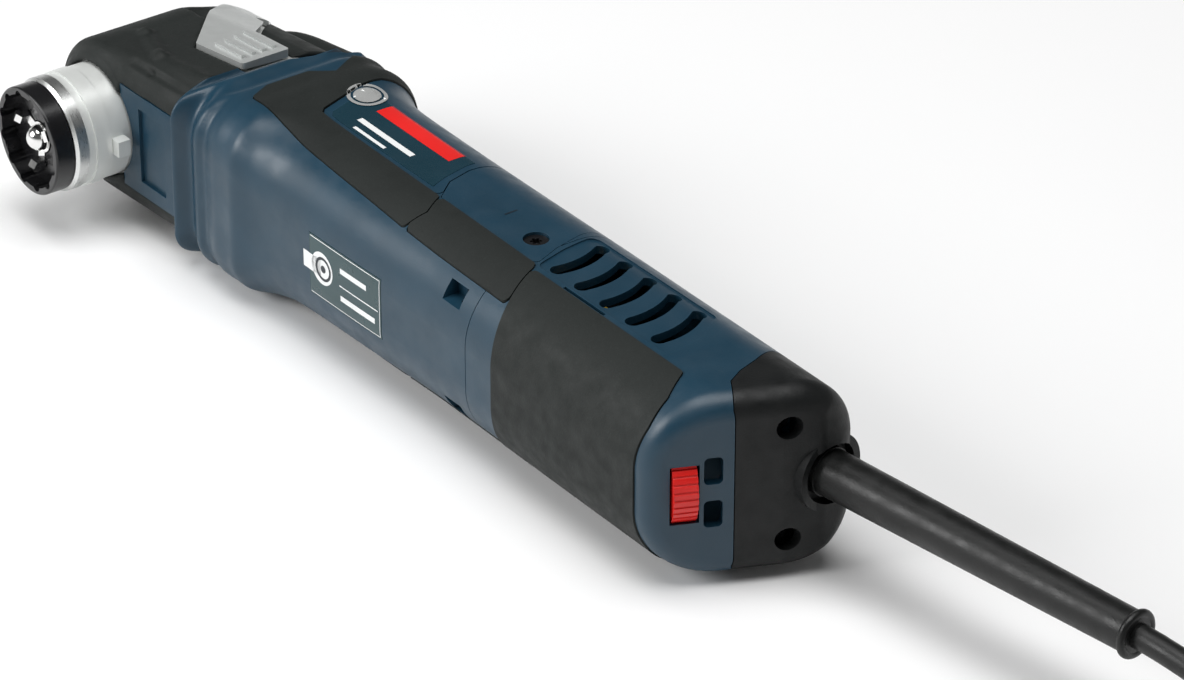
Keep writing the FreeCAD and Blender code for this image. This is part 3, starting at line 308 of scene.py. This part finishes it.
def make_materials():
    """One material for each slot of the record."""
    shades = {
        "housing_blue": moulded("blue_shell", (0.0060, 0.034, 0.060), 0.38),
        "soft_grip": rubbery("soft_grip", (0.0108, 0.0135, 0.0125)),
        "black_plastic": rubbery("cap_black", (0.0040, 0.0048, 0.0050), 0.48),
        "cast_metal": satin("collar_satin", (0.74, 0.76, 0.74), 0.36, 0.00002, 0.3),
        "collar_metal": metal("collar_ring", (0.72, 0.73, 0.72), 0.3, (1, 12, 1)),
        "lever_metal": satin("lever_satin", (0.60, 0.62, 0.61), 0.34, 0.00003, 0.5),
        "steel": metal("ground_steel", (0.42, 0.42, 0.43), 0.3, (1, 8, 8)),
        "holder_steel": moulded("black_oxide", (0.006, 0.006, 0.007), 0.22, 0.5),
        "bright_steel": metal("bright_steel", (0.85, 0.85, 0.84), 0.12),
        "dial_red": moulded("dial_red", (0.70, 0.010, 0.007), 0.36),
        "lamination": metal("laminations", (0.3, 0.31, 0.32), 0.45, (30, 1, 1)),
        "copper": metal("copper_wire", (0.75, 0.30, 0.14), 0.3, (30, 2, 2)),
        "carbon": rubbery("carbon", (0.02, 0.02, 0.02), 0.5),
        "board_green": moulded("board_green", (0.01, 0.12, 0.05), 0.4),
        "capacitor_yellow": moulded("capacitor_yellow", (0.7, 0.42, 0.03), 0.35),
        "fan_plastic": moulded("fan_plastic", (0.08, 0.08, 0.085), 0.5),
        "label_print": moulded("label_film", (0.017, 0.050, 0.056), 0.3, 0.3),
        "plate_print": moulded("plate_film", (0.005, 0.030, 0.046), 0.26, 0.3),
        "cord_rubber": rubbery("cord_rubber", (0.0048, 0.0052, 0.0050), 0.4, 0.4),
        "brass_part": metal("brass", (0.8, 0.6, 0.3), 0.3),
    }
    return {slot: shade.material for slot, shade in shades.items()}


def dress(obj, material):
    """Gives a piece its one material."""
    obj.data.materials.clear()
    obj.data.materials.append(material)


materials = make_materials()
for part in frame["record"]["subparts"]:
    dress(frame["nodes"][part["node"]], materials[part["material_slot"]])
dress(cord, materials["cord_rubber"])


# ---------------------------------------------------------------- the hood, sculpted
FOLD_VOXEL = 0.55        # millimetres
SMOOTHING = 2            # passes that take the steps of the voxels away
Y_SHARE = 0.4            # how much Y counts in what is outward
FACING = 0.2             # least cosine to outward of a surface that is sculpted
FADE = 1.8               # half widths from a fold's middle to where it has died away
LIP_Y = -24.0            # the lip is only on the accessory's side of this
# Folds on each flank: from, to (x, y and distance from the mid plane), half width, height.
# A groove's height is less than 0.
FOLDS = [
    ((-16, -24, 14), (2, -15, 23), 2.3, 1.7),
    ((2, -15, 23), (20, -21, 25), 2.1, 1.6),
    ((20, -21, 25), (43, -20, 28), 2.4, 0.8),
    ((-17, -17, 14), (-2, -9.5, 22), 1.5, -1.3),
    ((-2, -9.5, 22), (13, -15, 24), 1.3, -1.3),
    ((6, -13, 23), (24, -27, 24), 1.1, -1.2),
    ((0.8, -2.9, 22), (-6.8, 7.1, 20), 1.0, -1.5),
    ((-13, 3, 18), (-6.8, 7.1, 20), 1.1, -0.9),
    ((15, -27.5, 24), (43, -27, 26), 1.2, -0.9),
]
LIP = (19.2, 1.3, 0.9)   # the thick lip round the collar: radius, half width, height


def to_design(point):
    """The other way: a point of the row frame, in the tool's own frame and millimetres."""
    return (point - ORIGIN) / MM


def distance_to_segment(point, start, end):
    """How far a point is from a straight piece of line."""
    line = end - start
    share = max(0.0, min(1.0, (point - start).dot(line) / line.length_squared))
    return (point - start - line * share).length


def falloff(distance, width):
    """1 at a fold's middle, falling smoothly to 0."""
    t = min(1.0, distance / (FADE * width))
    return (1.0 - t * t) ** 2


def fold_height(point):
    """How far the hood's surface stands out, in millimetres, at a point of the tool's own frame."""
    flank = Vector((point.x, point.y, abs(point.z)))
    height = 0.0
    for start, end, width, rise in FOLDS:
        height += rise * falloff(distance_to_segment(flank, Vector(start), Vector(end)), width)
    if point.y < LIP_Y:
        radius, width, rise = LIP
        height += rise * falloff(abs(math.hypot(point.x, point.z) - radius), width)
    return height


def sculpt_hood():
    """The rubber hood: the CAD hood remeshed, with its folds and the lip round the collar raised."""
    blank = bpy.data.objects.new("hood_blank", frame["nodes"]["head_boot"].data.copy())
    bpy.context.scene.collection.objects.link(blank)
    remesh = blank.modifiers.new("remesh", "REMESH")
    remesh.mode = "VOXEL"
    remesh.voxel_size = FOLD_VOXEL * MM
    smooth = blank.modifiers.new("smooth", "SMOOTH")
    smooth.iterations = SMOOTHING
    mesh = bpy.data.meshes.new_from_object(blank.evaluated_get(bpy.context.evaluated_depsgraph_get()))
    bpy.data.objects.remove(blank)
    places = []
    for spot, normal in [(v.co.copy(), v.normal.copy()) for v in mesh.vertices]:
        point = to_design(spot)
        outward = Vector((min(point.x, 0.0), point.y * Y_SHARE, point.z)).normalized()
        if normal.dot(outward) > FACING:
            spot += normal * fold_height(point) * MM
        places.extend(spot)
    mesh.vertices.foreach_set("co", places)
    mesh.polygons.foreach_set("use_smooth", [True] * len(mesh.polygons))
    mesh.update()
    hood = bpy.data.objects.new("hood", mesh)
    bpy.context.scene.collection.objects.link(hood)
    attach(hood, "housing")
    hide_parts("head_boot")
    dress(hood, materials["soft_grip"])


sculpt_hood()


# ---------------------------------------------------------------- printed marks
CORNER_Y, CORNER_Z, CORNER_R = 11.8, 10.2, 19.0
INK_LIFT = 0.05          # millimetres that ink stands off its surface
BADGE_LIFT = 0.25
GRID = 0.8               # spacing of a mark's points, so that it follows a curved surface
SPOKES = 48              # points round a ring
RAY_START = 4.0          # millimetres outside the surface where a ray to it starts
RAY_REACH = 0.02         # metres
UNDER_Y = -34.0          # below the underside
# Bars: from, to along the tool, from, to across it. Discs and rings: middle, inner and outer radius.
LINES = ((93.5, 121.0, 1.0, 3.0), (96.5, 112.5, -2.6, -1.4))
STRIPE = (92.5, 130.0, 8.6, 14.8)
BADGE = ((83.5, 11.5, 0.0, 4.2), (83.5, 11.5, 5.0, 6.2))
TICK = (165.0, 165.6, 3.5, 8.0)
TAB_DISC, TAB_BAR = (118.8, 0.6, 0.0, 5.3), (109.2, 118.0, -2.4, 3.2)
TAB_RINGS = ((119.4, 0.6, 3.0, 3.9), (119.4, 0.6, 0.0, 1.2))
DIAGRAM = (
    (128.0, 141.0, 3.2, 5.0), (127.6, 146.6, -1.3, -0.9), (128.0, 145.0, -6.0, -4.2),
    (112.9, 147.5, 9.3, 9.55), (112.9, 147.5, -9.55, -9.3), (147.3, 147.55, -9.3, 9.3),
)


def on_flank(x, v, side):
    """Just outside the tool's flank, v millimetres round from the mid height, and the way in."""
    turn = max(0.0, (v - CORNER_Y) / CORNER_R)
    inward = Vector((0.0, -math.sin(turn), -side * math.cos(turn)))
    centre = Vector((x, min(v, CORNER_Y), side * CORNER_Z))
    return centre - inward * (CORNER_R + RAY_START), inward


def under_body(x, z, _side):
    """Just below the tool's underside, and the way in. It has no side: it is called as on_flank is."""
    return Vector((x, UNDER_Y, z)), Vector((0.0, 1.0, 0.0))


def tree_of(*names):
    """A search tree over some CAD nodes' surfaces, for laying marks on them."""
    points, faces = [], []
    for name in names:
        mesh = frame["nodes"][name].data
        first = len(points)
        points += [v.co.copy() for v in mesh.vertices]
        faces += [[first + i for i in p.vertices] for p in mesh.polygons]
    return BVHTree.FromPolygons(points, faces)


def bar(a0, a1, b0, b1):
    """A rectangle's grid of points and faces."""
    na, nb = max(1, round((a1 - a0) / GRID)), max(1, round((b1 - b0) / GRID))
    points = [(a0 + (a1 - a0) * i / na, b0 + (b1 - b0) * j / nb)
              for i in range(na + 1) for j in range(nb + 1)]
    row = nb + 1
    faces = [(i * row + j, (i + 1) * row + j, (i + 1) * row + j + 1, i * row + j + 1)
             for i in range(na) for j in range(nb)]
    return points, faces


def ring(a, b, inner, outer):
    """A ring's or a disc's points and faces."""
    rows = max(1, round((outer - inner) / GRID))
    points = []
    for j in range(rows + 1):
        r = inner + (outer - inner) * j / rows
        points += [(a + r * math.cos(2 * math.pi * k / SPOKES), b + r * math.sin(2 * math.pi * k / SPOKES))
                   for k in range(SPOKES)]
    faces = []
    for j in range(rows):
        near, far = j * SPOKES, (j + 1) * SPOKES
        faces += [(near + k, far + k, far + (k + 1) % SPOKES, near + (k + 1) % SPOKES) for k in range(SPOKES)]
    return points, faces


def lay_marks(name, shapes, place, side, tree, material, lift=INK_LIFT):
    """Flat shapes laid on a surface as one piece."""
    points, faces = [], []
    for shape_points, shape_faces in shapes:
        first = len(points)
        for a, b in shape_points:
            start, inward = place(a, b, side)
            hit = tree.ray_cast(at(*start), inward, RAY_REACH)[0]
            spot = hit if hit else at(*(start + inward * RAY_START))
            points.append(spot - inward * lift * MM)
        faces += [[first + i for i in face] for face in shape_faces]
    mesh = bpy.data.meshes.new(name)
    mesh.from_pydata(points, [], faces)
    bm = bmesh.new()
    bm.from_mesh(mesh)
    bmesh.ops.recalc_face_normals(bm, faces=bm.faces)
    if bm.faces[0].normal.dot(place(*shapes[0][0][0], side)[1]) > 0:
        bmesh.ops.reverse_faces(bm, faces=bm.faces)
    bm.to_mesh(mesh)
    bm.free()
    piece = bpy.data.objects.new(name, mesh)
    bpy.context.scene.collection.objects.link(piece)
    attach(piece, "housing")
    dress(piece, material)


def print_marks():
    """A stripe, lines and a plain badge on each flank, and a plain diagram under the body."""
    white = moulded("ink_white", (0.80, 0.82, 0.82), 0.4, 0.2).material
    red = moulded("ink_red", (0.72, 0.012, 0.010), 0.35, 0.2).material
    silver = satin("badge_silver", (0.62, 0.63, 0.62), 0.3, 0.00001, 0.5).material
    dark = moulded("ink_dark", (0.006, 0.012, 0.018), 0.4, 0.2).material
    flank = tree_of("name_plate", "name_panel", "front_grip", "upper_sleeve", "main_housing")
    under = tree_of("type_label", "main_housing")
    for side, hand in ((1, "right"), (-1, "left")):
        lay_marks("lines_" + hand, [bar(*b) for b in LINES], on_flank, side, flank, white)
        lay_marks("stripe_" + hand, [bar(*STRIPE)], on_flank, side, flank, red)
        lay_marks("badge_" + hand, [ring(*r) for r in BADGE], on_flank, side, flank, silver,
                  BADGE_LIFT)
        lay_marks("tick_" + hand, [bar(*TICK)], on_flank, side, flank, dark)
    diagram = [ring(*TAB_DISC), bar(*TAB_BAR)] + [bar(*b) for b in DIAGRAM]
    lay_marks("type_marks", diagram, under_body, 1, under, white)
    lay_marks("type_rings", [ring(*r) for r in TAB_RINGS], under_body, 1, under, dark,
              2 * INK_LIFT)


print_marks()


# ---------------------------------------------------------------- floor and light
FLOOR_HALF, FLOOR_Z = 30.0, -0.0002
ROOM_Z, ROOM_LIGHT = (0.0, 0.25), (0.95, 0.09)   # height of the view ray, and the world's strength there
AIM = (0, 0, 0.03)
# place, width and depth in metres, watts
TOP = ((0.1, -0.1, 2.0), (1.8, 1.4), 37)
KEY = ((-0.9, -1.7, 1.1), (1.2, 0.9), 29)


def add_floor():
    """A plain pale floor that the tool lies on."""
    mesh = bpy.data.meshes.new("floor")
    bm = bmesh.new()
    bmesh.ops.create_grid(bm, x_segments=1, y_segments=1, size=FLOOR_HALF)
    bm.to_mesh(mesh)
    bm.free()
    floor = bpy.data.objects.new("floor", mesh)
    bpy.context.scene.collection.objects.link(floor)
    floor.location.z = FLOOR_Z
    s = Shade("floor_white", (0.93, 0.93, 0.93), 0.75)
    s.tint(s.remap(s.noise(6.0), 0.4, 0.7, 0.0, 0.3), (0.91, 0.91, 0.915))
    dress(floor, s.material)


def add_area(name, place, size, power):
    """A rectangular soft box that faces the tool."""
    data = bpy.data.lights.new(name, "AREA")
    data.shape = "RECTANGLE"
    data.size, data.size_y = size
    data.energy = power
    light = bpy.data.objects.new(name, data)
    bpy.context.scene.collection.objects.link(light)
    light.location = place
    light.rotation_euler = (Vector(AIM) - Vector(place)).to_track_quat("-Z", "Y").to_euler()


def add_world():
    """A room that is bright round the horizon and dim overhead, so that upward faces stay dark."""
    world = bpy.data.worlds.new("studio")
    world.use_nodes = True
    nodes, links = world.node_tree.nodes, world.node_tree.links
    place = nodes.new("ShaderNodeTexCoord")
    split = nodes.new("ShaderNodeSeparateXYZ")
    grade = nodes.new("ShaderNodeMapRange")
    for key, number in zip(("From Min", "From Max", "To Min", "To Max"), ROOM_Z + ROOM_LIGHT):
        grade.inputs[key].default_value = number
    links.new(place.outputs["Generated"], split.inputs["Vector"])
    links.new(split.outputs["Z"], grade.inputs["Value"])
    nodes["Background"].inputs["Color"].default_value = (1, 1, 1, 1)
    links.new(grade.outputs["Result"], nodes["Background"].inputs["Strength"])
    bpy.context.scene.world = world


def add_lights():
    """A broad soft box overhead and another before the tool, on the accessory's side."""
    add_area("top", *TOP)
    add_area("key", *KEY)


add_world()
add_floor()
add_lights()
bpy.context.scene.view_settings.view_transform = "Standard"

bpy.context.view_layer.update()
